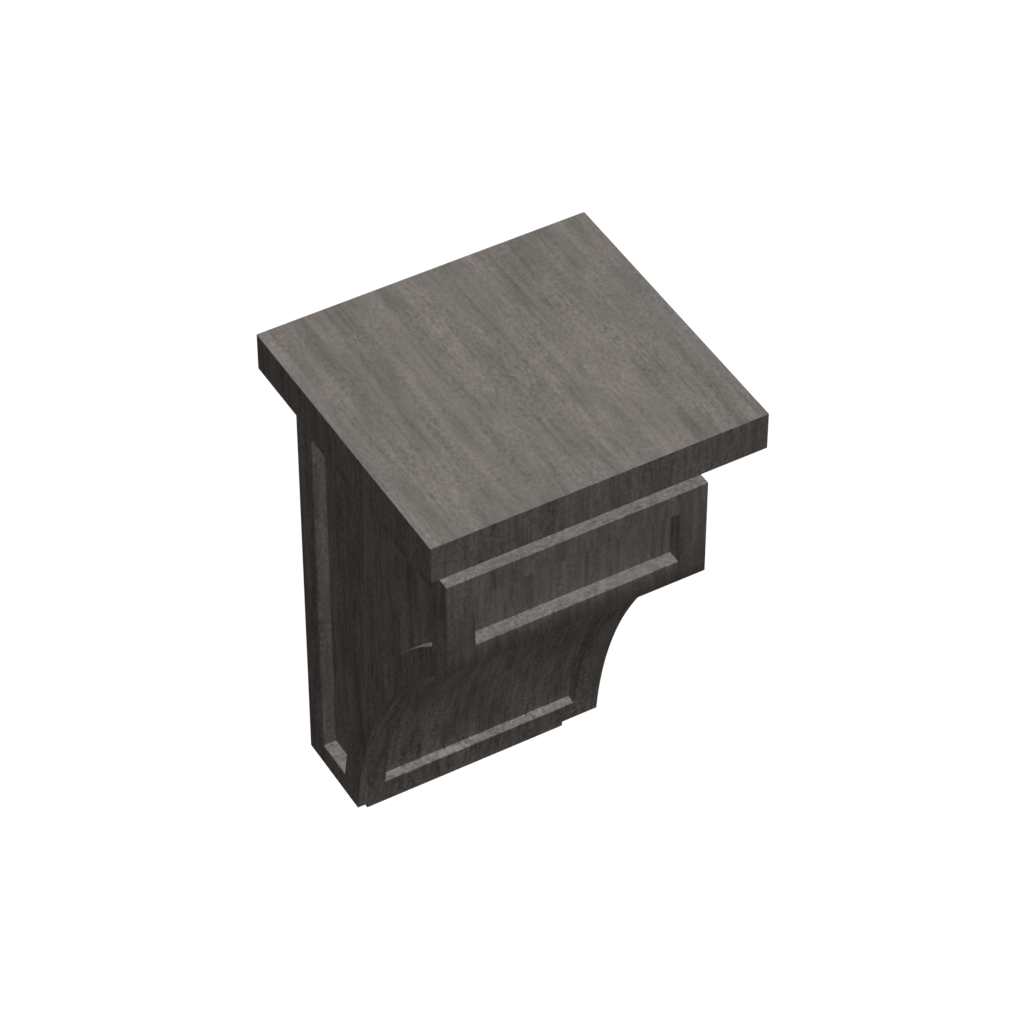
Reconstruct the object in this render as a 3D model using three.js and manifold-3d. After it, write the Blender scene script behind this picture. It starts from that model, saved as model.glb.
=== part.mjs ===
import * as THREE from "three";
import { mergeVertices } from "three/addons/utils/BufferGeometryUtils.js";
import Module from "manifold-3d";

const wasm = await Module();
wasm.setup();

// Shaker corbel of dark stained wood: a thick cap board on a solid core, and the core
// clad on its two sides, its upright front and its hollow cove with mitred boards, each
// with a flat recess routed in its face.
// Millimetres, Z up. X runs along the wall, which is the plane Y = 0, and the front
// faces -Y. A depth is a distance out from the wall, so it is minus Y.

// Cap board
const capThickness = 19;
const capSideOverhang = 16.6;
const capFrontOverhang = 17.5;

// Outside of the cladding
const bodyWidth = 124.8;
const bodyDepth = 130;
const bodyDepthAtBottom = 44.8;
const claddingHeight = 211.9;
const uprightHeight = 50.7;
const coveRadius = 243.7;
const boardThickness = 11;

// Core that shows above the cladding as a neck and below it as a foot
const neckHeight = 26;
const footHeight = 17.4;

// Borders left standing round the recesses, and how deep each recess is
const rail = 11.6;
const sideStile = 13;
const frontStile = 13.6;
const sideRecessDepth = 6.4;
const uprightRecessDepth = 6.6;
const coveRecessDepth = 4.3;

// Glue line between touching pieces, and how far a cutter stands proud of a face
const glueLine = 0.3;
const cutterProud = 2;

// Flat steps in the cove's arc
const coveSteps = 32;

// Heights, with the origin at the middle of the core's back
const coreHeight = neckHeight + claddingHeight + footHeight - glueLine;
const coreTop = coreHeight / 2;
const coreBottom = -coreHeight / 2;
const capUnderside = coreTop + glueLine;
const claddingTop = capUnderside - neckHeight;
const claddingBottom = claddingTop - claddingHeight;
const uprightBottom = claddingTop - uprightHeight;
const recessTop = claddingTop - rail;

// Each side of a mitre draws back by this much along its face, which leaves one glue
// line between the two cut faces
const mitreSetback = glueLine / Math.SQRT2;

// The cove is one arc from the foot of the cladding to the bottom of the upright front.
// Its centre stands out in front, found from the two ends and the radius.
const chord = new THREE.Vector2(bodyDepth - bodyDepthAtBottom, uprightBottom - claddingBottom);
const chordMiddle = new THREE.Vector2(bodyDepthAtBottom, claddingBottom).addScaledVector(chord, 0.5);
const centreDistance = Math.sqrt(coveRadius ** 2 - (chord.length() / 2) ** 2);
const outward = new THREE.Vector2(chord.y, -chord.x).normalize();
const coveCentre = chordMiddle.addScaledVector(outward, centreDistance);

const finish = { color: 0x4a4540, roughness: 0.62, metalness: 0 };

function at(x, depth, height) {
  return new THREE.Vector3(x, -depth, height);
}

// Angle on the arc, lying inset into the wood, at a height or at a depth
function angleAtHeight(inset, height) {
  return Math.asin((height - coveCentre.y) / (coveRadius + inset));
}

function angleAtDepth(inset, depth) {
  return Math.acos((coveCentre.x - depth) / (coveRadius + inset));
}

function onArc(inset, angle) {
  const radius = coveRadius + inset;
  return {
    depth: coveCentre.x - radius * Math.cos(angle),
    height: coveCentre.y + radius * Math.sin(angle),
  };
}

// Points up the arc, from a height to where it meets the upright front, inset alike
function arcUp(inset, fromHeight) {
  const start = angleAtHeight(inset, fromHeight);
  const end = angleAtDepth(inset, bodyDepth - inset);
  return steps((share) => onArc(inset, THREE.MathUtils.lerp(start, end, share)));
}

function steps(pointAt) {
  const points = [];
  for (let step = 0; step <= coveSteps; step += 1) {
    points.push(pointAt(step / coveSteps));
  }
  return points;
}

// The front outline of the clad body, inset into the wood, from a height up to a height
function frontOutline(inset, fromHeight, toHeight) {
  return [...arcUp(inset, fromHeight), { depth: bodyDepth - inset, height: toHeight }];
}

// A closed solid through four-cornered sections, each one listed the same way round
function throughSections(sections) {
  const positions = sections.flat().flatMap((corner) => corner.toArray());
  const corners = sections[0].length;
  const last = (sections.length - 1) * corners;
  const triangles = [];
  for (let section = 0; section < sections.length - 1; section += 1) {
    for (let corner = 0; corner < corners; corner += 1) {
      const next = (corner + 1) % corners;
      const low = section * corners;
      const high = low + corners;
      triangles.push(low + corner, low + next, high + next);
      triangles.push(low + corner, high + next, high + corner);
    }
  }
  for (let corner = 1; corner < corners - 1; corner += 1) {
    triangles.push(0, corner + 1, corner);
    triangles.push(last, last + corner, last + corner + 1);
  }
  const geometry = new THREE.BufferGeometry();
  geometry.setAttribute("position", new THREE.Float32BufferAttribute(positions, 3));
  geometry.setIndex(triangles);
  return geometry;
}

// A box between two corners
function boxBetween(low, high) {
  const size = high.clone().sub(low);
  const middle = low.clone().add(high).multiplyScalar(0.5);
  return new THREE.BoxGeometry(size.x, size.y, size.z).translate(middle.x, middle.y, middle.z);
}

function toManifold(geometry) {
  const bare = geometry.clone();
  bare.deleteAttribute("normal");
  bare.deleteAttribute("uv");
  const merged = mergeVertices(bare);
  return new wasm.Manifold(new wasm.Mesh({
    numProp: 3,
    vertProperties: new Float32Array(merged.attributes.position.array),
    triVerts: new Uint32Array(merged.index.array),
  }));
}

function cutFrom(board, cutter) {
  const mesh = toManifold(board).subtract(toManifold(cutter)).getMesh();
  const geometry = new THREE.BufferGeometry();
  geometry.setAttribute("position", new THREE.Float32BufferAttribute(mesh.vertProperties, 3));
  geometry.setIndex(Array.from(mesh.triVerts));
  geometry.computeVertexNormals();
  return geometry;
}

function piece(name, geometry) {
  const mesh = new THREE.Mesh(geometry, new THREE.MeshStandardMaterial(finish));
  mesh.name = name;
  return mesh;
}

// The cap overhangs the cladding on both sides and in front, and is flush at the wall
function capBoard() {
  const width = bodyWidth + 2 * capSideOverhang;
  const depth = bodyDepth + capFrontOverhang;
  const cap = piece("cap_board", new THREE.BoxGeometry(width, depth, capThickness));
  cap.position.set(0, -depth / 2, capUnderside + capThickness / 2);
  return cap;
}

// The core is one block, and the cove is sawn out of its front from the upright down
function core() {
  const inset = boardThickness + glueLine;
  const half = bodyWidth / 2 - inset;
  const front = bodyDepth - inset;
  const block = boxBetween(at(-half, front, coreBottom), at(half, 0, coreTop));
  const waste = arcUp(inset, coreBottom - cutterProud).map(({ depth, height }) => [
    at(-half - cutterProud, front + cutterProud, height),
    at(half + cutterProud, front + cutterProud, height),
    at(half + cutterProud, depth, height),
    at(-half - cutterProud, depth, height),
  ]);
  return piece("core", cutFrom(block, throughSections(waste)));
}

// A side board, with its outside at X = 0 and its inside towards the middle, which is +X
// for the left one. Its front edge is mitred along the whole outline.
function sideBoard(name, inward) {
  const outside = frontOutline(mitreSetback, claddingBottom, claddingTop);
  const inside = frontOutline(boardThickness + mitreSetback, claddingBottom, claddingTop);
  const sections = outside.map((front, index) => {
    const back = inside[index];
    return turned(inward, [
      at(0, front.depth, front.height),
      at(inward * boardThickness, back.depth, back.height),
      at(inward * boardThickness, 0, back.height),
      at(0, 0, front.height),
    ]);
  });
  const side = piece(name, cutFrom(throughSections(sections), sideRecess(inward)));
  side.position.x = -inward * bodyWidth / 2;
  return side;
}

// The recess in a side board follows the board's outline inside its border
function sideRecess(inward) {
  const outline = frontOutline(sideStile, claddingBottom + rail, recessTop);
  const sections = outline.map(({ depth, height }) => turned(inward, [
    at(-inward * cutterProud, depth, height),
    at(inward * sideRecessDepth, depth, height),
    at(inward * sideRecessDepth, sideStile, height),
    at(-inward * cutterProud, sideStile, height),
  ]));
  return throughSections(sections);
}

// A mirrored section is listed the other way round, so that its faces still point out
function turned(inward, section) {
  return inward > 0 ? section : section.reverse();
}

// The four corners of a board across the front, at one place up the outline: its face
// and its back, each cut short at both ends by the mitre with the side boards
function acrossFront(face, back, backInset) {
  const faceHalf = bodyWidth / 2 - mitreSetback;
  const backHalf = faceHalf - backInset;
  return [
    at(-faceHalf, face.depth, face.height),
    at(faceHalf, face.depth, face.height),
    at(backHalf, back.depth, back.height),
    at(-backHalf, back.depth, back.height),
  ];
}

// The front and cove boards meet in a mitre at the arris, with half a glue line each
function uprightBoard() {
  const face = onArc(0, angleAtDepth(0, bodyDepth));
  const back = onArc(boardThickness, angleAtDepth(boardThickness, bodyDepth - boardThickness));
  const lift = glueLine / 2;
  const board = throughSections([
    acrossFront(
      { depth: face.depth, height: face.height + lift },
      { depth: back.depth, height: back.height + lift },
      boardThickness,
    ),
    acrossFront(
      { depth: face.depth, height: claddingTop },
      { depth: back.depth, height: claddingTop },
      boardThickness,
    ),
  ]);
  const recessHalf = bodyWidth / 2 - frontStile;
  const recess = boxBetween(
    at(-recessHalf, bodyDepth + cutterProud, uprightBottom + rail),
    at(recessHalf, bodyDepth - uprightRecessDepth, recessTop),
  );
  return piece("upright_front_board", cutFrom(board, recess));
}

function coveBoard() {
  const faceEnd = angleAtDepth(0, bodyDepth);
  const backEnd = angleAtDepth(boardThickness, bodyDepth - boardThickness);
  const faceStart = angleAtHeight(0, claddingBottom);
  const backStart = angleAtHeight(boardThickness, claddingBottom);
  const drop = glueLine / 2 / coveRadius;
  const sections = steps((share) => acrossFront(
    onArc(0, THREE.MathUtils.lerp(faceStart, faceEnd - drop, share)),
    onArc(boardThickness, THREE.MathUtils.lerp(backStart, backEnd - drop, share)),
    boardThickness,
  ));
  return piece("cove_board", cutFrom(throughSections(sections), coveRecess()));
}

// The recess in the cove board keeps an even depth, and both its ends are cut square to
// the curved face
function coveRecess() {
  const half = bodyWidth / 2 - frontStile;
  const start = angleAtHeight(0, claddingBottom + rail);
  const end = angleAtDepth(0, bodyDepth) - rail / coveRadius;
  return throughSections(steps((share) => {
    const angle = THREE.MathUtils.lerp(start, end, share);
    const mouth = onArc(-cutterProud, angle);
    const floor = onArc(coveRecessDepth, angle);
    return [
      at(-half, mouth.depth, mouth.height),
      at(half, mouth.depth, mouth.height),
      at(half, floor.depth, floor.height),
      at(-half, floor.depth, floor.height),
    ];
  }));
}

const corbel = new THREE.Group();
corbel.add(
  capBoard(),
  core(),
  sideBoard("left_side_board", 1),
  sideBoard("right_side_board", -1),
  uprightBoard(),
  coveBoard(),
);

export default corbel;
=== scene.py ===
# %% [markdown]
# A shaker corbel in dark stained wood
#
# A corbel is a bracket that is built in against a wall and carries a shelf or a worktop.
# This one is built up from six pieces: a thick cap board, a solid core, and four mitred
# boards that clad the core at its sides, its upright front and its hollow cove.
#
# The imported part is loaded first. It fixes every place and size, in metres, with X along
# the wall, the wall in the plane Y = 0, the front facing -Y and Z up. Its solids could
# take a material as they are, but their arrises are knife-sharp and their curve is
# stepped. So each one is made again here, in the order in which a joiner would work.

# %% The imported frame
import math

import bmesh
import bpy
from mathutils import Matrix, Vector


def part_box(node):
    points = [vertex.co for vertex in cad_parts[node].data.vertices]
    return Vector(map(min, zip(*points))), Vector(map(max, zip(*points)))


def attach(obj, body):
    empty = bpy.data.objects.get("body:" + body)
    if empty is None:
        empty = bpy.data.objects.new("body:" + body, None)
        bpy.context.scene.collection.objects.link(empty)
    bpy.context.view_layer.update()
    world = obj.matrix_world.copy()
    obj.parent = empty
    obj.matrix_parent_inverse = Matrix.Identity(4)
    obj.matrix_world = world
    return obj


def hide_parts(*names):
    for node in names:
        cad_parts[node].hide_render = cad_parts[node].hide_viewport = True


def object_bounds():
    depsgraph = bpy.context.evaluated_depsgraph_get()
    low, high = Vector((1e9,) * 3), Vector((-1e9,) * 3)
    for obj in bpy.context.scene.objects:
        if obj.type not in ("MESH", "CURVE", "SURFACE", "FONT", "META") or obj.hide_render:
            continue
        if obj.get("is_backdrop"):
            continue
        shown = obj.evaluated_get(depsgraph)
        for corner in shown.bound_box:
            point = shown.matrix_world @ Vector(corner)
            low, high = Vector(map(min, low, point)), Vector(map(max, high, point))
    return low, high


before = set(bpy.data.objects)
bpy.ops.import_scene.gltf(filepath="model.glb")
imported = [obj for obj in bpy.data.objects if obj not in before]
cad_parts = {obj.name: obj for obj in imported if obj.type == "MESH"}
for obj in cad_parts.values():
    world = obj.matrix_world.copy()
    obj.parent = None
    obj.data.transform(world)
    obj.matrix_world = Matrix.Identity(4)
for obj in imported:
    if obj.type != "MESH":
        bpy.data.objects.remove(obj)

cad_low, cad_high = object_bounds()

MM = 0.001


def in_mm(*lengths):
    return ", ".join(str(round(length / MM, 1)) for length in lengths)


print("The part measures, in mm:", in_mm(*(cad_high - cad_low)))

# %% [markdown]
# The camera
#
# The photograph was taken from in front of the corbel's left side and well above it,
# through a long lens, which keeps upright edges almost parallel. A short lens would have
# to stand closer, and would make them lean together. So the camera stands at the
# photograph's angle and distance, with a long lens, no shift and no depth of field.

# %% Camera
RIGHT_ANGLE = math.radians(90)
CAMERA_TURN = math.radians(-30.0)
CAMERA_TILT = math.radians(43.78)
CAMERA_PLACE = Vector((-0.68563, -1.26267, 1.38332))
CAMERA_LENS = 158.15
CAMERA_SENSOR = 36

camera = bpy.data.objects.new("camera", bpy.data.cameras.new("camera"))
bpy.context.scene.collection.objects.link(camera)
camera.location = CAMERA_PLACE
camera.rotation_euler = (RIGHT_ANGLE - CAMERA_TILT, 0, CAMERA_TURN)
camera.data.lens = CAMERA_LENS
camera.data.sensor_width = CAMERA_SENSOR
bpy.context.scene.camera = camera
print("The camera stands", round(CAMERA_PLACE.length, 2), "m from the corbel")

# %% [markdown]
# The lamps
#
# The photograph has the even light of a catalogue picture: bright on faces that look up,
# even the narrow ledges under the cap, dim on the front and dimmer on the left side. One
# wide soft lamp overhead, a little to the right and to the front, gives these steps. It
# throws no shadow, which is what lights the ledges.
#
# The rest is filled from all round, in a slightly pinker tint. The glow of the room could
# do this alone, but it would leave a haze on the wood and deep shade in the recesses. Two
# lamps that each spread over half a sphere, one from above and one from below, light
# every face alike, down to the bottom of a recess.

# %% Lamps
bpy.context.scene.view_settings.view_transform = "Standard"

LAMP_STRENGTH = 2.86
LAMP_SPREAD = math.radians(60)
LAMP_FROM = Vector((0.32, -0.115, 0.94))
FILL_STRENGTH = 0.29
FILL_TINT = (1.0, 0.93, 0.958)
HALF_SPHERE = math.radians(180)
FILLS = {
    "fill_from_above": Vector((0, 0, 1)),
    "fill_from_below": Vector((0, 0, -1)),
}


def add_lamp(name, strength, spread, shines_from):
    lamp = bpy.data.objects.new(name, bpy.data.lights.new(name, "SUN"))
    bpy.context.scene.collection.objects.link(lamp)
    lamp.rotation_euler = shines_from.to_track_quat("Z", "Y").to_euler()
    lamp.data.energy = strength
    lamp.data.angle = spread
    lamp.data.use_shadow = False
    lamp.data.cycles.use_multiple_importance_sampling = False
    return lamp


add_lamp("overhead_lamp", LAMP_STRENGTH, LAMP_SPREAD, LAMP_FROM)
for name, shines_from in FILLS.items():
    fill = add_lamp(name, FILL_STRENGTH, HALF_SPHERE, shines_from)
    fill.data.color = FILL_TINT
    fill.visible_glossy = False
print("One lamp shines from overhead, and", len(FILLS), "fill from all round")

# %% [markdown]
# The room
#
# A weak glow of the room is added to the lamps, in the tint of the fill. It alone gathers
# a little shade in the corners. Behind the corbel the camera sees plain white. One white
# world would light the wood far too brightly, so a light path node picks the bright
# backdrop for what the camera sees and the weak glow for everything else.

# %% Room
ROOM_GLOW = 0.075
BACKDROP_GLOW = 1.0
WHITE = (1, 1, 1, 1)

room = bpy.data.worlds.new("room")
bpy.context.scene.world = room
room.use_nodes = True
room_nodes = room.node_tree.nodes
room_links = room.node_tree.links
glow = room_nodes["Background"]
glow.inputs["Color"].default_value = (*FILL_TINT, 1)
glow.inputs["Strength"].default_value = ROOM_GLOW
backdrop = room_nodes.new("ShaderNodeBackground")
backdrop.inputs["Color"].default_value = WHITE
backdrop.inputs["Strength"].default_value = BACKDROP_GLOW
ray = room_nodes.new("ShaderNodeLightPath")
either = room_nodes.new("ShaderNodeMixShader")
for_camera, unseen, seen = either.inputs
room_links.new(ray.outputs["Is Camera Ray"], for_camera)
room_links.new(glow.outputs["Background"], unseen)
room_links.new(backdrop.outputs["Background"], seen)
room_links.new(either.outputs["Shader"], room_nodes["World Output"].inputs["Surface"])
print("The room glows at", ROOM_GLOW, "and the backdrop at", BACKDROP_GLOW)

# %% [markdown]
# The floor
#
# A corbel hangs on a wall, so the floor lies well below it. It is pale and catches the
# light. A real floor would also send light back up, which would wash out the dim front,
# so this one is kept out of what the wood sees.

# %% Floor
FLOOR_DROP = 0.9
FLOOR_SIZE = 12.0
FLOOR_TONE = (0.98, 0.98, 0.98, 1)
FLOOR_ROUGHNESS = 0.9
FLOOR_LIFT = 0.06

bpy.ops.object.select_all(action="DESELECT")
bpy.ops.mesh.primitive_plane_add(size=FLOOR_SIZE, location=(0, 0, cad_low.z - FLOOR_DROP))
floor = bpy.context.object
floor.name = "floor"
floor_paint = bpy.data.materials.new("pale_floor")
floor_paint.use_nodes = True
paint = floor_paint.node_tree.nodes["Principled BSDF"]
paint.inputs["Base Color"].default_value = FLOOR_TONE
paint.inputs["Roughness"].default_value = FLOOR_ROUGHNESS
paint.inputs["Emission Color"].default_value = WHITE
paint.inputs["Emission Strength"].default_value = FLOOR_LIFT
floor.data.materials.append(floor_paint)
floor.visible_diffuse = False
floor.visible_glossy = False
floor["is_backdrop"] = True
print("The floor lies", FLOOR_DROP, "m below the corbel's foot")

# %% [markdown]
# The sizes
#
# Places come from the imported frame. What the frame's boxes can't tell, such as the cove's
# radius and the borders round the recesses, is written here once, as in the part. Cutters
# stand proud of a face, so that no cut ends exactly in it. The boards are glued, and the
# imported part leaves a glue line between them. It would show as a pale line in this even
# light, so here it is closed up to a hairline.

# %% Sizes
COVE_RADIUS = 243.7 * MM
DEPTH_AT_BOTTOM = 44.8 * MM
RAIL = 11.6 * MM
SIDE_STILE = 13 * MM
FRONT_STILE = 13.6 * MM
SIDE_RECESS = 6.4 * MM
UPRIGHT_RECESS = 6.6 * MM
COVE_RECESS = 4.3 * MM
GLUE_LINE = 0.3 * MM
HAIRLINE = 0.01 * MM
PROUD = 3 * MM

cap_low, cap_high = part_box("cap_board")
core_low, core_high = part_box("core")
side_low, side_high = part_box("left_side_board")
upright_low, upright_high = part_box("upright_front_board")

body_half = -side_low.x
recess_half = body_half - FRONT_STILE
face_y = upright_low.y
board = upright_high.y - upright_low.y
cladding_top = side_high.z
cladding_bottom = side_low.z
arris_z = upright_low.z - GLUE_LINE / 2
print("The boards are", in_mm(board), "mm thick")

# %% [markdown]
# The arc of the cove
#
# The cove is one arc, from the foot of the cladding up to the arris of the upright front.
# Two ends and a radius fix an arc. Its centre stands out in the room, square to the
# middle of the chord between the ends, about level with the corbel's foot.

# %% Arc of the cove
foot = Vector((0, -DEPTH_AT_BOTTOM, cladding_bottom))
arris = Vector((0, face_y, arris_z))
chord = arris - foot
outward = Vector((0, -chord.z, chord.y)).normalized()
reach = math.sqrt(COVE_RADIUS ** 2 - (chord.length / 2) ** 2)
cove_centre = (foot + arris) / 2 + outward * reach
print("The cove's centre is at, in mm:", in_mm(*cove_centre))


def angle_at_height(height):
    return math.asin((height - cove_centre.z) / COVE_RADIUS)


def on_cove(angle):
    return cove_centre + COVE_RADIUS * Vector((0, math.cos(angle), math.sin(angle)))


arris_angle = angle_at_height(arris_z)
print("The cove turns up to", round(math.degrees(arris_angle), 1), "degrees from upright")

# %% [markdown]
# Wood to work with
#
# Each flat piece starts as a block between two corners, just as a maker starts from sawn
# stock. A block could be scaled by eye, but between two corners it takes its place from
# the frame's boxes. A drum round the cove's centre is the shape of the waste in front of
# the cove. Both are settled at once: their place, turn and scale go into the mesh, so the
# finished piece stays at the origin, unturned and unscaled.

# %% Stock
STEPS_ROUND = 512
AS_MADE = (1, 1, 1)


def take(piece):
    bpy.ops.object.select_all(action="DESELECT")
    piece.select_set(True)
    bpy.context.view_layer.objects.active = piece


def settle(name, scale=AS_MADE):
    piece = bpy.context.object
    piece.name = name
    piece.scale = scale
    bpy.ops.object.transform_apply(location=True, rotation=True, scale=True)
    return piece


def add_block(name, low, high):
    bpy.ops.object.select_all(action="DESELECT")
    bpy.ops.mesh.primitive_cube_add(size=1, location=(Vector(low) + Vector(high)) / 2)
    return settle(name, Vector(high) - Vector(low))


def add_drum(name, radius, low_x, high_x):
    bpy.ops.object.select_all(action="DESELECT")
    bpy.ops.mesh.primitive_cylinder_add(
        vertices=STEPS_ROUND,
        radius=radius,
        depth=high_x - low_x,
        location=((low_x + high_x) / 2, cove_centre.y, cove_centre.z),
        rotation=(0, RIGHT_ANGLE, 0),
    )
    return settle(name)


print("A full drum has", STEPS_ROUND, "steps")

# %% [markdown]
# Bent stock
#
# The cove board starts as a bar that is bent round the cove's centre, as a thin board is
# bent over a form. It is made as a flat rectangle and spun about the centre. A straight
# bar bent by a modifier would stretch at its outside, but spinning keeps every step of
# the curve at the same distance from the centre, so boards that are made apart still fit.

# %% Bent stock
STEP_ANGLE = 2 * math.pi / STEPS_ROUND
SAME_PLACE = 0.001 * MM


def add_bent_bar(name, half_width, inner, outer, end_angle):
    bpy.ops.object.select_all(action="DESELECT")
    middle = cove_centre + Vector((0, (inner + outer) / 2, 0))
    bpy.ops.mesh.primitive_plane_add(size=1, location=middle)
    bar = settle(name, (2 * half_width, outer - inner, 1))
    bpy.ops.object.mode_set(mode="EDIT")
    bpy.ops.mesh.select_all(action="SELECT")
    bpy.ops.mesh.spin(
        steps=math.ceil(end_angle / STEP_ANGLE),
        angle=end_angle,
        center=cove_centre,
        axis=(-1, 0, 0),
    )
    bpy.ops.mesh.select_all(action="SELECT")
    bpy.ops.mesh.remove_doubles(threshold=SAME_PLACE)
    bpy.ops.mesh.normals_make_consistent(inside=False)
    bpy.ops.object.mode_set(mode="OBJECT")
    return bar


print("A step of the curve is", in_mm(STEP_ANGLE * COVE_RADIUS), "mm long")

# %% [markdown]
# The saw
#
# A straight saw cut is a bisect that throws one side away and closes the cut. A boolean
# with a big block would do the same, but a bisect needs only a place on the cut and the
# direction in which the waste lies.

# %% Saw
def saw(piece, at, waste_side):
    take(piece)
    bpy.ops.object.mode_set(mode="EDIT")
    bpy.ops.mesh.select_all(action="SELECT")
    bpy.ops.mesh.bisect(plane_co=at, plane_no=waste_side, use_fill=True, clear_outer=True)
    bpy.ops.object.mode_set(mode="OBJECT")


# %% [markdown]
# The router
#
# A curved or a stopped cut is a boolean with the shape of the waste. A recess could be an
# inset pushed inwards instead, but that depends on how the face happens to be divided,
# and a cutter only on its place. The cut leaves doubled corners and lines across flat
# faces, which are cleaned away.

# %% Router
FLAT_TURN = math.radians(0.05)


def cut(piece, cutter, operation="DIFFERENCE"):
    modifier = piece.modifiers.new("cut", "BOOLEAN")
    modifier.object = cutter
    modifier.operation = operation
    modifier.solver = "EXACT"
    take(piece)
    bpy.ops.object.modifier_apply(modifier="cut")
    bpy.data.objects.remove(cutter)
    bpy.ops.object.mode_set(mode="EDIT")
    bpy.ops.mesh.select_all(action="SELECT")
    bpy.ops.mesh.remove_doubles(threshold=SAME_PLACE)
    bpy.ops.mesh.dissolve_limited(angle_limit=FLAT_TURN)
    bpy.ops.object.mode_set(mode="OBJECT")


print("A turn below", round(math.degrees(FLAT_TURN), 2), "degrees counts as flat")

# %% [markdown]
# Sandpaper
#
# The last step rounds the outer arrises with a small bevel: sharp inner corners, which
# sandpaper never reaches, are left as they are. A bevel modifier could pick its edges by
# their angle too, but it can't tell an inner corner from an outer one. Only edges where
# two faces turn well away from each other are picked, so the fine steps of the curve
# stay smooth.

# %% Sandpaper
ARRIS_TURN = math.radians(30)
EASED = 0.3 * MM


def bevel_edges(piece, is_picked, width, segments):
    take(piece)
    bpy.ops.object.mode_set(mode="EDIT")
    bpy.ops.mesh.select_mode(type="EDGE")
    bpy.ops.mesh.select_all(action="DESELECT")
    shape = bmesh.from_edit_mesh(piece.data)
    for edge in shape.edges:
        if is_picked(edge):
            edge.select_set(True)
    bmesh.update_edit_mesh(piece.data)
    bpy.ops.mesh.bevel(offset=width, segments=segments, affect="EDGES")
    bpy.ops.object.mode_set(mode="OBJECT")


def is_outer_arris(edge):
    return edge.is_manifold and edge.is_convex and edge.calc_face_angle() > ARRIS_TURN


def ease(piece):
    bevel_edges(piece, is_outer_arris, width=EASED, segments=2)


print("Arrises are eased by", in_mm(EASED), "mm")

# %% [markdown]
# A material made of nodes
#
# The wood is a straight-grained one under a dark grey-brown stain. An image of wood could
# be wrapped round each piece, but it would stretch on the curve and break at each edge of
# a recess. So the pattern is a solid one, which nodes work out for each place in space.
# It runs over borders, recesses and edges without a break, as it does in a routed board.
#
# A small class holds one material. It puts a number or another node's output into a
# socket, adds a node with its inputs filled, and reckons with numbers and with vectors.

# %% Nodes
class NodeMaterial:
    """One material, and the steps by which its nodes are put together."""

    def __init__(self, name):
        self.material = bpy.data.materials.new(name)
        self.material.use_nodes = True
        self.nodes = self.material.node_tree.nodes
        self.links = self.material.node_tree.links

    def put(self, socket, value):
        if isinstance(value, bpy.types.NodeSocket):
            self.links.new(value, socket)
        else:
            socket.default_value = value

    def add(self, kind, *values, **settings):
        node = self.nodes.new(kind)
        for name, value in settings.items():
            setattr(node, name, value)
        for socket, value in zip(node.inputs, values):
            self.put(socket, value)
        return node

    def reckon(self, operation, *values):
        return self.add("ShaderNodeMath", *values, operation=operation).outputs[0]

    def reckon_vector(self, operation, *values):
        return self.add("ShaderNodeVectorMath", *values, operation=operation).outputs[0]

    def split(self, vector):
        return self.add("ShaderNodeSeparateXYZ", vector).outputs

    def join(self, *values):
        return self.add("ShaderNodeCombineXYZ", *values).outputs[0]


# %% [markdown]
# Nodes for wood
#
# A wood needs a few more kinds of node: a total, a ramp from one pair of values to
# another, a blend of two colours, and noise that is drawn out along the grain. The first
# two numbers of a grain coordinate go across the grain, and the third goes along it. They
# are divided by a layer's size. A wave texture could draw the lines too, but they would
# be as even as ruled ones, which noise never is.
#
# Noise lies round a middle of 0.5, and a layer counts by how far it is off that middle.
# A mix node has its sockets for colours behind those for numbers and for vectors, so they
# are found by their numbers.

# %% Nodes for wood
MIDDLE = 0.5
MIX_COLOUR_A = 6
MIX_COLOUR_B = 7
MIX_COLOUR_RESULT = 2


class Wood(NodeMaterial):
    """A wood, and the kinds of node that its pattern is built from."""

    def __init__(self, name):
        super().__init__(name)
        self.surface = self.nodes["Principled BSDF"]
        self.relief = self.add("ShaderNodeBump")
        self.place = self.add("ShaderNodeTexCoord").outputs["Object"]

    def facing(self):
        return self.add("ShaderNodeNewGeometry").outputs["Normal"]

    def total(self, *values):
        so_far = values[0]
        for value in values[1:]:
            so_far = self.reckon("ADD", so_far, value)
        return so_far

    def ramp(self, value, ends, becomes):
        return self.add("ShaderNodeMapRange", value, *ends, *becomes).outputs[0]

    def blend(self, share, first, second):
        node = self.add("ShaderNodeMix", data_type="RGBA")
        self.put(node.inputs["Factor"], share)
        self.put(node.inputs[MIX_COLOUR_A], first)
        self.put(node.inputs[MIX_COLOUR_B], second)
        return node.outputs[MIX_COLOUR_RESULT]

    def noise(self, grain, across, along, detail, rough=0.5):
        drawn_out = self.reckon_vector("DIVIDE", grain, (across, across, along))
        node = self.add("ShaderNodeTexNoise")
        self.put(node.inputs["Vector"], drawn_out)
        self.put(node.inputs["Scale"], 1.0)
        self.put(node.inputs["Detail"], detail)
        self.put(node.inputs["Roughness"], rough)
        return node.outputs["Fac"]

    def off_middle(self, value, strength):
        return self.reckon("MULTIPLY", self.reckon("SUBTRACT", value, MIDDLE), strength)


print("Noise lies round", MIDDLE)

# %% [markdown]
# How the grain lies
#
# Grain runs along a board, so it lies another way in each kind of board. One direction
# for all of them would be quicker, but an upright one would go through the cap's
# thickness, and run out of the curved face of the cove board. So the coordinates are
# changed round before the pattern reads them:
#
# - Side boards, upright front and core: the grain stands upright.
# - Cap: the grain runs from the wall to the front.
# - Cove board: a board bent to the curve keeps its grain along it. Its coordinates are
#   the distance from the cove's centre and the way round it, measured on the face.

# %% Grain
def upright_grain(wood):
    return wood.place


def level_grain(wood):
    x, y, z = wood.split(wood.place)
    return wood.join(x, z, y)


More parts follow.
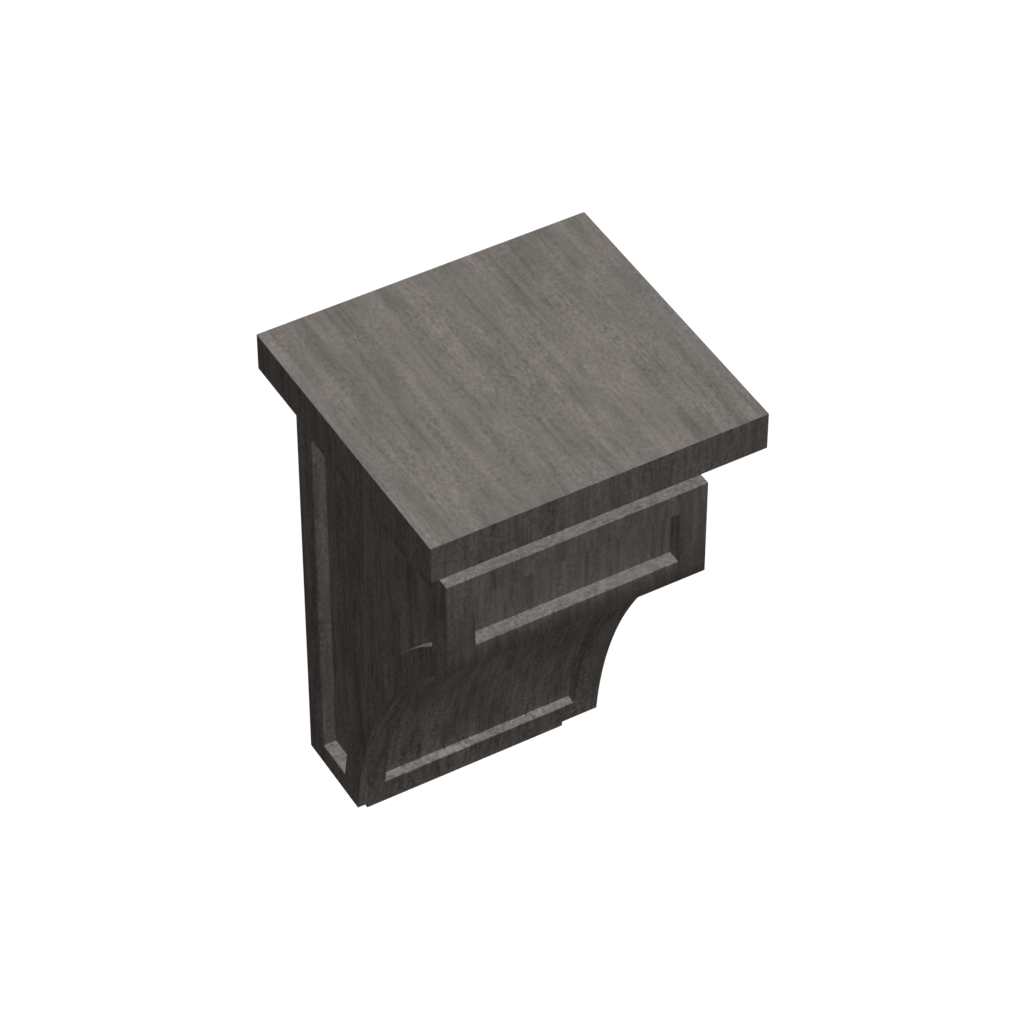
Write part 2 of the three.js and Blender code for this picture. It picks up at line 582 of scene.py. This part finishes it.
def curved_grain(wood):
    x, y, z = wood.split(wood.reckon_vector("SUBTRACT", wood.place, cove_centre))
    square = wood.total(wood.reckon("MULTIPLY", y, y), wood.reckon("MULTIPLY", z, z))
    along = wood.reckon("MULTIPLY", wood.reckon("ARCTAN2", z, y), COVE_RADIUS)
    return wood.join(x, wood.reckon("SQRT", square), along)


grain_length = COVE_RADIUS * arris_angle
print("From the centre's height to the arris the grain is", in_mm(grain_length), "mm long")

# %% [markdown]
# The layers of the pattern
#
# One noise alone looks like cloud or sand. Real grain shows at several scales at once, so
# five layers are added up, each with its size across and along the grain:
#
# - Specks are a fine grit, hardly longer than it is wide. They gather in clusters.
# - Streaks are short strands of fibre.
# - Bands are soft and long, like growth rings that a saw cut lengthwise.
# - Patches are clouds in the stain.
# - Pores are thin dark lines with plain wood between them. They are the low ends of a
#   noise, cut off at a threshold.
#
# A wide noise makes the whole grain sway a little, so that no line is ruled straight.

# %% Layers
SWAY = {"across": 30 * MM, "along": 90 * MM, "detail": 1}
SPECKS = {"across": 1.3 * MM, "along": 2.4 * MM, "detail": 2, "rough": 0.8}
CLUSTERS = {"across": 9 * MM, "along": 24 * MM, "detail": 0}
STREAKS = {"across": 2.2 * MM, "along": 26 * MM, "detail": 2, "rough": 0.6}
BANDS = {"across": 6 * MM, "along": 120 * MM, "detail": 1, "rough": 0.6}
PATCHES = {"across": 9 * MM, "along": 24 * MM, "detail": 2}
PORES = {"across": 2 * MM, "along": 70 * MM, "detail": 1}

SWAY_WIDTH = 5 * MM
SPECK_STRENGTH = 0.95
CLUSTER_ENDS = (0.3, 0.7)
GRIT_IN_CLUSTERS = (0.6, 1.3)
PORE_ENDS = (0.26, 0.40)
PORE_SHADE = (-0.12, 0.0)


def swaying(wood, grain):
    sway = wood.off_middle(wood.noise(grain, **SWAY), SWAY_WIDTH)
    return wood.reckon_vector("ADD", grain, wood.join(sway, sway, 0.0))


def gathered_specks(wood, grain):
    specks = wood.off_middle(wood.noise(grain, **SPECKS), SPECK_STRENGTH)
    gathering = wood.ramp(wood.noise(grain, **CLUSTERS), CLUSTER_ENDS, GRIT_IN_CLUSTERS)
    return wood.reckon("MULTIPLY", specks, gathering)


def dark_pores(wood, grain):
    return wood.ramp(wood.noise(grain, **PORES), PORE_ENDS, PORE_SHADE)


print("Streaks are about", in_mm(STREAKS["along"]), "mm long")
print("Bands are about", in_mm(BANDS["along"]), "mm long")

# %% [markdown]
# The darker places
#
# End grain drinks more stain, so the ledges cut across an upright grain are darker than
# the board. The borders that stand proud are painted a little darker than the bottoms of
# the recesses. Such places could be painted on by hand. Here they are found by the way a
# face looks and by how far it lies from the outside, so they stay right when a size
# changes.

# %% Darker places
END_GRAIN_SHADE = 0.09
# The proud borders of the side and cove boards are painted darker than the bottoms of their
# recesses, over the outer depth below.
BORDER_DARKENING = 0.09
BORDER_DARKENING_DEPTH = 1 * MM


def on_ledges(wood):
    upward = wood.reckon("ABSOLUTE", wood.split(wood.facing())["Z"])
    return wood.reckon("MULTIPLY", upward, END_GRAIN_SHADE)


def on_side_borders(wood):
    from_middle = wood.reckon("ABSOLUTE", wood.split(wood.place)["X"])
    border = (body_half - BORDER_DARKENING_DEPTH, body_half)
    return wood.ramp(from_middle, border, (0.0, BORDER_DARKENING))


def on_cove_borders(wood):
    from_centre = wood.split(curved_grain(wood))["Y"]
    border = (COVE_RADIUS, COVE_RADIUS + BORDER_DARKENING_DEPTH)
    return wood.ramp(from_centre, border, (BORDER_DARKENING, 0.0))


# The outer borders are painted darker in the stain's tone, over this depth.
print("Handling has darkened the outer", in_mm(BORDER_DARKENING_DEPTH), "mm")

# %% [markdown]
# Stain and coat
#
# The layers make one tone between 0 and 1, and a colour ramp turns the tone into stain.
# Three stops are enough, because the middle one keeps the stain from going grey between
# its dark and its light. A tint then makes some places greener and others pinker.
#
# The coat over it is thin and dull, and dullest on the dark wood. The pattern stands up
# from the surface by less than a tenth of a millimetre, as an open grain under such a
# coat does. That is too fine to model, so it is a bump.

# %% Stain and coat
STAIN_DARK = (0.086, 0.0795, 0.0714, 1)
STAIN_MIDDLE = (0.169, 0.1553, 0.1404, 1)
STAIN_LIGHT = (0.254, 0.2335, 0.2145, 1)
TINT_GREENER = (0.975, 1.004, 0.985, 1)
TINT_PINKER = (1.018, 0.997, 1.014, 1)
COAT_ENDS = (0.2, 0.8)
COAT_ROUGHNESS = (0.78, 0.62)
COAT_SPECULAR = 0.2
RELIEF = 0.3 * MM
RELIEF_STRENGTH = 0.2


def put_stain(wood, tone, pinkness):
    stain = wood.add("ShaderNodeValToRGB", tone)
    dark, light = stain.color_ramp.elements
    dark.color = STAIN_DARK
    light.color = STAIN_LIGHT
    stain.color_ramp.elements.new(MIDDLE).color = STAIN_MIDDLE
    tint = wood.blend(pinkness, TINT_GREENER, TINT_PINKER)
    colour = wood.reckon_vector("MULTIPLY", stain.outputs["Color"], tint)
    wood.put(wood.surface.inputs["Base Color"], colour)


def put_coat(wood, tone):
    wood.put(wood.surface.inputs["Roughness"], wood.ramp(tone, COAT_ENDS, COAT_ROUGHNESS))
    wood.put(wood.surface.inputs["Specular IOR Level"], COAT_SPECULAR)
    wood.put(wood.relief.inputs["Strength"], RELIEF_STRENGTH)
    wood.put(wood.relief.inputs["Distance"], RELIEF)
    wood.put(wood.relief.inputs["Height"], tone)
    wood.put(wood.surface.inputs["Normal"], wood.relief.outputs["Normal"])


print("The coat's roughness on the darkest and the lightest wood:", *COAT_ROUGHNESS)

# %% [markdown]
# The recipe for a wood
#
# Every wood is made by one recipe, which takes the strengths of its layers. Each board
# could have a material made by hand, but then a change to the stain would have to be made
# five times. The layers are added up, the sum is stretched by the contrast and set at
# the lightness, and the darker places are taken off. The tint follows the bands and the
# clouds.

# %% Recipe
def stained_wood(
    name,
    lie,
    contrast,
    lightness,
    streaking=0.42,
    banding=0.48,
    clouding=0.45,
    tinting=-2.6,
    darker=None,
):
    """The stained wood, with its grain lying as lie says, and darker where darker says."""
    wood = Wood(name)
    grain = swaying(wood, lie(wood))
    bands = wood.noise(grain, **BANDS)
    patches = wood.noise(grain, **PATCHES)
    shade = wood.total(
        dark_pores(wood, grain),
        gathered_specks(wood, grain),
        wood.off_middle(wood.noise(grain, **STREAKS), streaking),
        wood.off_middle(bands, banding),
        wood.off_middle(patches, clouding),
    )
    tone = wood.total(wood.reckon("MULTIPLY", shade, contrast), lightness)
    if darker:
        tone = wood.reckon("SUBTRACT", tone, darker(wood))
    pinkness = wood.total(
        wood.off_middle(bands, tinting / 2),
        wood.off_middle(patches, tinting / 2),
        MIDDLE,
    )
    put_stain(wood, tone, pinkness)
    put_coat(wood, tone)
    return wood


# %% [markdown]
# The woods of the pieces
#
# No two boards are alike, so each kind of board has its own contrast, lightness and
# strength of streaks, bands and clouds. On the cap the pale places are the pinker ones,
# and on the other boards they are the greener ones, which a tinting below zero does. The
# ledges of the upright front are its end grain, and the borders of the side boards and of
# the cove board are painted darker than their recesses.

# %% Woods
core_wood = stained_wood(
    "stained_wood_upright",
    upright_grain,
    contrast=1.5,
    lightness=0.45,
    streaking=0.66,
    banding=0.36,
    clouding=0.2,
)
side_wood = stained_wood(
    "stained_wood_sides",
    upright_grain,
    contrast=1.8,
    lightness=0.52,
    streaking=0.5,
    darker=on_side_borders,
)
cap_wood = stained_wood(
    "stained_wood_level",
    level_grain,
    contrast=1.12,
    lightness=0.53,
    tinting=4,
)
cove_wood = stained_wood(
    "stained_wood_curved",
    curved_grain,
    contrast=1.85,
    lightness=0.56,
    streaking=0.7,
    banding=0.25,
    darker=on_cove_borders,
)
front_wood = stained_wood(
    "stained_wood_front",
    upright_grain,
    contrast=1.2,
    lightness=0.54,
    streaking=0.9,
    banding=0.55,
    clouding=0.15,
    darker=on_ledges,
)
print("The side boards' wood has", len(side_wood.nodes), "nodes")

# %% [markdown]
# The soft arris
#
# The upright front and the cove board were sanded together where they meet, so the light
# turns over their arris gradually, although its outline stays crisp. A wide bevel would
# soften the outline as well. So only the shading normal leans down, all the way along the
# bottom rail of the upright front and a little up its stiles. The recess isn't touched.

# %% Soft arris
RAIL_LEAN = 0.46
STILE_LEAN = 0.22
ON_FACE = 0.4 * MM


def soften_arris(wood):
    x, y, z = wood.split(wood.place)
    on_stile = wood.reckon("GREATER_THAN", wood.reckon("ABSOLUTE", x), recess_half)
    on_face = wood.reckon("LESS_THAN", y, face_y + ON_FACE)
    rail_lean = wood.ramp(z, (arris_z, arris_z + RAIL), (RAIL_LEAN, 0.0))
    stile_lean = wood.ramp(z, (arris_z, cladding_top), (STILE_LEAN, 0.0))
    lean = wood.reckon("MAXIMUM", rail_lean, wood.reckon("MULTIPLY", stile_lean, on_stile))
    downward = wood.join(0.0, 0.0, wood.reckon("MULTIPLY", lean, on_face))
    leaning = wood.reckon_vector("SUBTRACT", wood.facing(), downward)
    wood.put(wood.relief.inputs["Normal"], wood.reckon_vector("NORMALIZE", leaning))


soften_arris(front_wood)
arris_lean = math.degrees(math.atan(RAIL_LEAN))
print("The light turns down by", round(arris_lean, 1), "degrees at the arris")

# %% [markdown]
# A finished piece
#
# A piece is finished in the same way each time: faces turned outwards, the curve shaded
# smooth and the arrises left crisp, and its wood put on. Shading everything smooth would
# blur the flat faces, so the turn between two faces decides. Then the imported solid that
# the piece stands for is hidden, and the piece is hung from the root.

# %% Finishing
SMOOTH_TURN = math.radians(10)


def finish_piece(piece, wood, node):
    take(piece)
    bpy.ops.object.mode_set(mode="EDIT")
    bpy.ops.mesh.select_all(action="SELECT")
    bpy.ops.mesh.remove_doubles(threshold=SAME_PLACE)
    bpy.ops.mesh.normals_make_consistent(inside=False)
    bpy.ops.object.mode_set(mode="OBJECT")
    bpy.ops.object.shade_smooth_by_angle(angle=SMOOTH_TURN)
    piece.data.materials.clear()
    piece.data.materials.append(wood.material)
    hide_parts(node)
    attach(piece, "root")
    print(piece.name, "measures, in mm:", in_mm(*piece.dimensions))


print("Faces that turn by less than", round(math.degrees(SMOOTH_TURN)), "degrees are smooth")

# %% [markdown]
# The cap board
#
# The cap is a plain board of the full stock thickness, with its arrises eased so that
# they don't splinter. It is a block with a small bevel all round. Its edges are lipped
# with strips whose grain stands upright, like the boards below them. The strips could be
# pieces of their own, but no joint of theirs shows, so they are only a second material on
# the faces that stand upright.

# %% Cap board
HALFWAY = math.cos(math.radians(45))

cap = add_block("cap", cap_low, cap_high)
ease(cap)
finish_piece(cap, cap_wood, "cap_board")
cap.data.materials.append(core_wood.material)
for face in cap.data.polygons:
    face.material_index = int(abs(face.normal.z) < HALFWAY)

# %% [markdown]
# The core
#
# The core carries everything else. It shows as the neck under the cap and as the foot
# below the cladding. It is a block whose front is sawn to the cove's curve, one board's
# thickness behind the face. A bent bar would give the curve as well, but not the flat
# back that goes against the wall.
#
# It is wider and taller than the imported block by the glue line, so that no light shows
# between the pieces. Its top is sawn after its arrises are eased, which leaves it sharp
# against the cap.

# %% Core
def add_coved_block(name, low, high, radius):
    block = add_block(name, low, high)
    waste = add_drum("waste", radius, low[0] - PROUD, high[0] + PROUD)
    cut(block, waste)
    return block


closed_gap = GLUE_LINE - HAIRLINE
core = add_coved_block(
    "inner_block",
    (core_low.x - closed_gap, core_low.y, core_low.z),
    (core_high.x + closed_gap, core_high.y, core_high.z + PROUD),
    COVE_RADIUS + board + HAIRLINE,
)
ease(core)
saw(core, (0, 0, core_high.z + closed_gap), (0, 0, 1))
finish_piece(core, core_wood, "core")

# %% [markdown]
# The mitres
#
# The cladding boards meet in mitres, so no end grain and no seam shows. A butt joint
# would show both. Between the side boards and the upright front the mitre is a plane at
# 45 degrees. Along the cove the same cut bends into a cone: a drum round the cove's
# centre with a broad chamfer at each rim. What lies inside the drum belongs to the cove
# board and what lies outside it to the side boards. Arrises are eased before the mitres
# are cut, so each rounded corner is shared by its two boards.

# %% Mitre drum
chamfer = board + PROUD


def is_rim(edge):
    return edge.calc_face_angle() > ARRIS_TURN


def add_mitre_drum(narrowing=0.0):
    half = body_half - narrowing
    drum = add_drum("mitre_drum", COVE_RADIUS + chamfer, -half, half)
    bevel_edges(drum, is_rim, width=chamfer, segments=1)
    return drum


print("The drum's chamfers reach", in_mm(chamfer), "mm into the wood")

# %% [markdown]
# The mitre at the arris
#
# Where the upright front meets the cove board, the cut runs from the arris on the face to
# the line where the two backs meet. A level cut would be simpler to saw, but it would
# find the slanting cove board half as thick again as the upright front.

# %% Mitre at the arris
back_radius = COVE_RADIUS + board
back_y = face_y + board
back_z = cove_centre.z + math.sqrt(back_radius ** 2 - (back_y - cove_centre.y) ** 2)
below_arris = Vector((0, back_z - arris_z, -board)).normalized()
mitre_lean = math.degrees(math.atan2(back_z - arris_z, board))
print("The mitre at the arris rises at", round(mitre_lean, 1), "degrees towards the wall")

# %% [markdown]
# The upright front
#
# A block as wide as the body, with a recess routed in its face, eased, and then mitred at
# both ends and along the bottom. Four strips round a thin panel are another way to make
# it, but no joint shows in the corners of the recess, so it is cut from one board.

# %% Upright front
upright = add_block(
    "upright_front",
    (-body_half, face_y, arris_z - board),
    (body_half, face_y + board, cladding_top),
)
upright_waste = add_block(
    "waste",
    (-recess_half, face_y - PROUD, arris_z + RAIL),
    (recess_half, face_y + UPRIGHT_RECESS, cladding_top - RAIL),
)
cut(upright, upright_waste)
ease(upright)
for side in (-1, 1):
    saw(upright, (side * (body_half - HAIRLINE / 2), face_y, 0), (side, 1, 0))
saw(upright, arris - below_arris * HAIRLINE / 2, below_arris)
finish_piece(upright, front_wood, "upright_front_board")

# %% [markdown]
# The cove board
#
# A bar bent round the cove's centre, sawn level at the foot. Its recess is cut with a
# second, thinner bar of the same kind, which keeps the floor an even depth below the
# face. A straight block would leave a flat floor behind a curved face. The ends of the
# recess are sawn square to the curve.

# %% Cove board
past_arris = arris_angle + RAIL / COVE_RADIUS
recess_start = angle_at_height(cladding_bottom + RAIL)
recess_end = arris_angle - RAIL / COVE_RADIUS
downhill = Vector((0, math.sin(recess_start), -math.cos(recess_start)))

cove = add_bent_bar("cove_front", body_half, COVE_RADIUS, back_radius, past_arris)
saw(cove, foot, (0, 0, -1))
cove_waste = add_bent_bar(
    "waste",
    recess_half,
    COVE_RADIUS - PROUD,
    COVE_RADIUS + COVE_RECESS,
    recess_end,
)
saw(cove_waste, on_cove(recess_start), downhill)
cut(cove, cove_waste)
ease(cove)
saw(cove, arris + below_arris * HAIRLINE / 2, -below_arris)
cut(cove, add_mitre_drum(narrowing=HAIRLINE), "INTERSECT")
finish_piece(cove, cove_wood, "cove_board")

# %% [markdown]
# The side boards
#
# A block with the cove sawn out of its front, and a recess whose outline follows the
# board's own, a border's width inside it. Block and recess are made by the same helper,
# which keeps the border even along the curve. The left board is made, and the right one
# is its mirror image, with a mesh of its own. The same steps could be gone through again
# on the right, but a mirror image can't come out different.

# %% Side boards
MIRRORED = (-1, 1, 1)

left = add_coved_block(
    "left_side",
    (-body_half, face_y, cladding_bottom),
    (-body_half + board, 0, cladding_top),
    COVE_RADIUS,
)
side_waste = add_coved_block(
    "waste",
    (-body_half - PROUD, face_y + SIDE_STILE, cladding_bottom + RAIL),
    (-body_half + SIDE_RECESS, -SIDE_STILE, cladding_top - RAIL),
    COVE_RADIUS + SIDE_STILE,
)
cut(left, side_waste)
ease(left)
cut(left, add_mitre_drum())
saw(left, (-body_half, face_y + HAIRLINE / 2, 0), (1, -1, 0))

take(left)
bpy.ops.object.duplicate()
right = settle("right_side", MIRRORED)
finish_piece(left, side_wood, "left_side_board")
finish_piece(right, side_wood, "right_side_board")

# %% [markdown]
# The last measure
#
# The dressed corbel has to fill the imported part's box and no more, or what rests on it
# and what it hangs on would no longer meet it. Its size is written down, to set beside the
# part's size at the start.

# %% Size
low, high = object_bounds()
print("The dressed corbel measures, in mm:", in_mm(*(high - low)))
